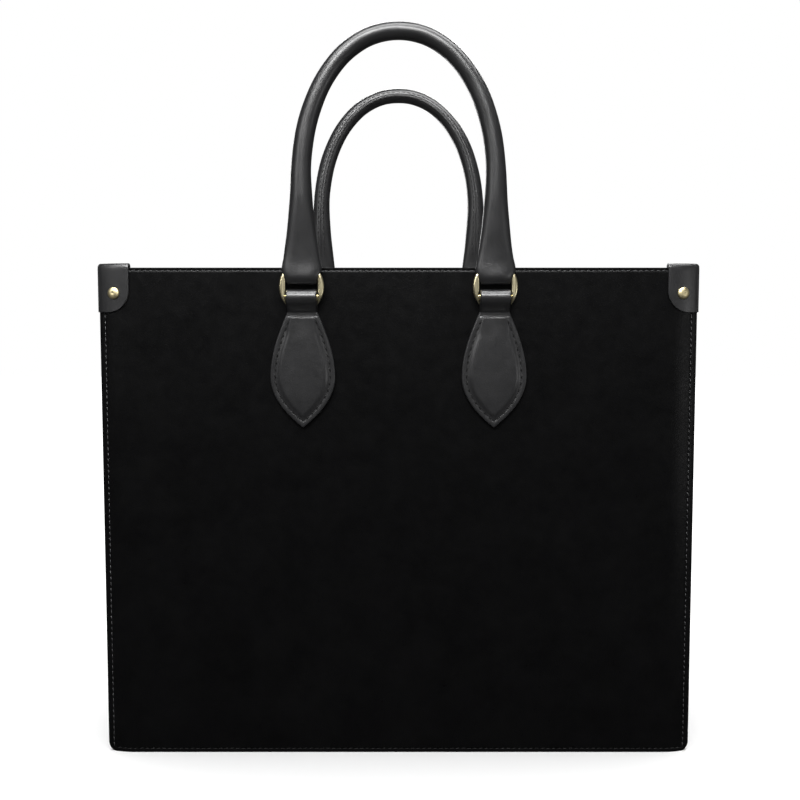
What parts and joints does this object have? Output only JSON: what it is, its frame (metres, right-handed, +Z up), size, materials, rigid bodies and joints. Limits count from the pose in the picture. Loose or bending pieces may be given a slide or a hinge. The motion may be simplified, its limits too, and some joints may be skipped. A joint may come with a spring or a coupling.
{
  "type": "open-top leather diaper tote",
  "caption": "Structured open-top leather tote with rolled handles on crescent rings, studded corner patches, a magnetic snap, a slip pocket and a zip pocket.",
  "frame": {"origin": "centre of the footprint, on the surface the bag stands on", "axes": "+Z up through the mouth; +X along the width; the front panel faces -Y"},
  "size_m": [0.4038, 0.1746, 0.4897],
  "materials": {
    "panel_leather": "smooth black calf, satin",
    "trim_leather": "smooth charcoal calf, satin",
    "gold_hardware": "polished pale gold plate",
    "lining_fabric": "fine dark twill",
    "zip_tape_fabric": "woven black tape",
    "stiffener_board": "bonded board",
    "core_cord": "twisted cotton cord",
    "plain_steel": "plain washer"
  },
  "bodies": {
    "bag": {"front_panel": "panel_leather", "back_panel": "panel_leather", "left_gusset": "panel_leather", "right_gusset": "panel_leather", "base_panel": "panel_leather", "base_board": "stiffener_board", "front_stiffener": "stiffener_board", "back_stiffener": "stiffener_board", "lining": "lining_fabric", "front_facing": "panel_leather", "back_facing": "panel_leather", "front_left_patch": "trim_leather", "front_right_patch": "trim_leather", "back_left_patch": "trim_leather", "back_right_patch": "trim_leather", "front_left_stud": "gold_hardware", "front_right_stud": "gold_hardware", "back_left_stud": "gold_hardware", "back_right_stud": "gold_hardware", "front_left_stud_back": "gold_hardware", "front_right_stud_back": "gold_hardware", "back_left_stud_back": "gold_hardware", "back_right_stud_back": "gold_hardware", "front_left_tab": "trim_leather", "front_right_tab": "trim_leather", "back_left_tab": "trim_leather", "back_right_tab": "trim_leather", "snap_socket": "gold_hardware", "snap_stud": "gold_hardware", "snap_socket_washer": "plain_steel", "snap_stud_washer": "plain_steel", "slip_pocket": "lining_fabric", "slip_pocket_binding": "panel_leather", "zip_welt": "panel_leather", "zip_tape": "zip_tape_fabric", "zip_chain": "gold_hardware", "zip_end_stops": "gold_hardware", "zip_pouch": "lining_fabric"},
    "front_left_ring": {"front_left_ring": "gold_hardware"},
    "front_right_ring": {"front_right_ring": "gold_hardware"},
    "back_left_ring": {"back_left_ring": "gold_hardware"},
    "back_right_ring": {"back_right_ring": "gold_hardware"},
    "front_handle": {"front_handle": "trim_leather", "front_handle_core": "core_cord", "front_left_handle_loop": "trim_leather", "front_right_handle_loop": "trim_leather"},
    "back_handle": {"back_handle": "trim_leather", "back_handle_core": "core_cord", "back_left_handle_loop": "trim_leather", "back_right_handle_loop": "trim_leather"},
    "zip_slider": {"zip_slider": "gold_hardware"},
    "zip_pull": {"zip_pull": "gold_hardware"}
  },
  "joints": [
    {"name": "front_left_ring_swing", "type": "hinge", "parent": "bag", "child": "front_left_ring", "pos_m": [-0.064, -0.0813, 0.312], "axis": [1, 0, 0], "range_deg": [0, 90]},
    {"name": "front_right_ring_swing", "type": "hinge", "parent": "bag", "child": "front_right_ring", "pos_m": [0.064, -0.0813, 0.312], "axis": [1, 0, 0], "range_deg": [0, 90]},
    {"name": "front_handle_swing", "type": "hinge", "parent": "front_left_ring", "child": "front_handle", "pos_m": [-0.064, -0.0813, 0.326], "axis": [1, 0, 0], "range_deg": [-18, 90]},
    {"name": "back_left_ring_swing", "type": "hinge", "parent": "bag", "child": "back_left_ring", "pos_m": [-0.064, 0.0813, 0.312], "axis": [-1, 0, 0], "range_deg": [0, 90]},
    {"name": "back_right_ring_swing", "type": "hinge", "parent": "bag", "child": "back_right_ring", "pos_m": [0.064, 0.0813, 0.312], "axis": [-1, 0, 0], "range_deg": [0, 90]},
    {"name": "back_handle_swing", "type": "hinge", "parent": "back_left_ring", "child": "back_handle", "pos_m": [-0.064, 0.0813, 0.326], "axis": [-1, 0, 0], "range_deg": [-18, 90]},
    {"name": "zip_slide", "type": "slide", "parent": "bag", "child": "zip_slider", "axis": [1, 0, 0], "range_m": [-0.155, 0]},
    {"name": "zip_pull_swing", "type": "hinge", "parent": "zip_slider", "child": "zip_pull", "pos_m": [0.0775, 0.06535, 0.248], "axis": [0, 0, 1], "range_deg": [0, 180]}
  ],
  "couplings": [
    {"joint": "front_right_ring_swing", "follows": "front_left_ring_swing", "ratio": 1},
    {"joint": "back_right_ring_swing", "follows": "back_left_ring_swing", "ratio": 1}
  ]
}
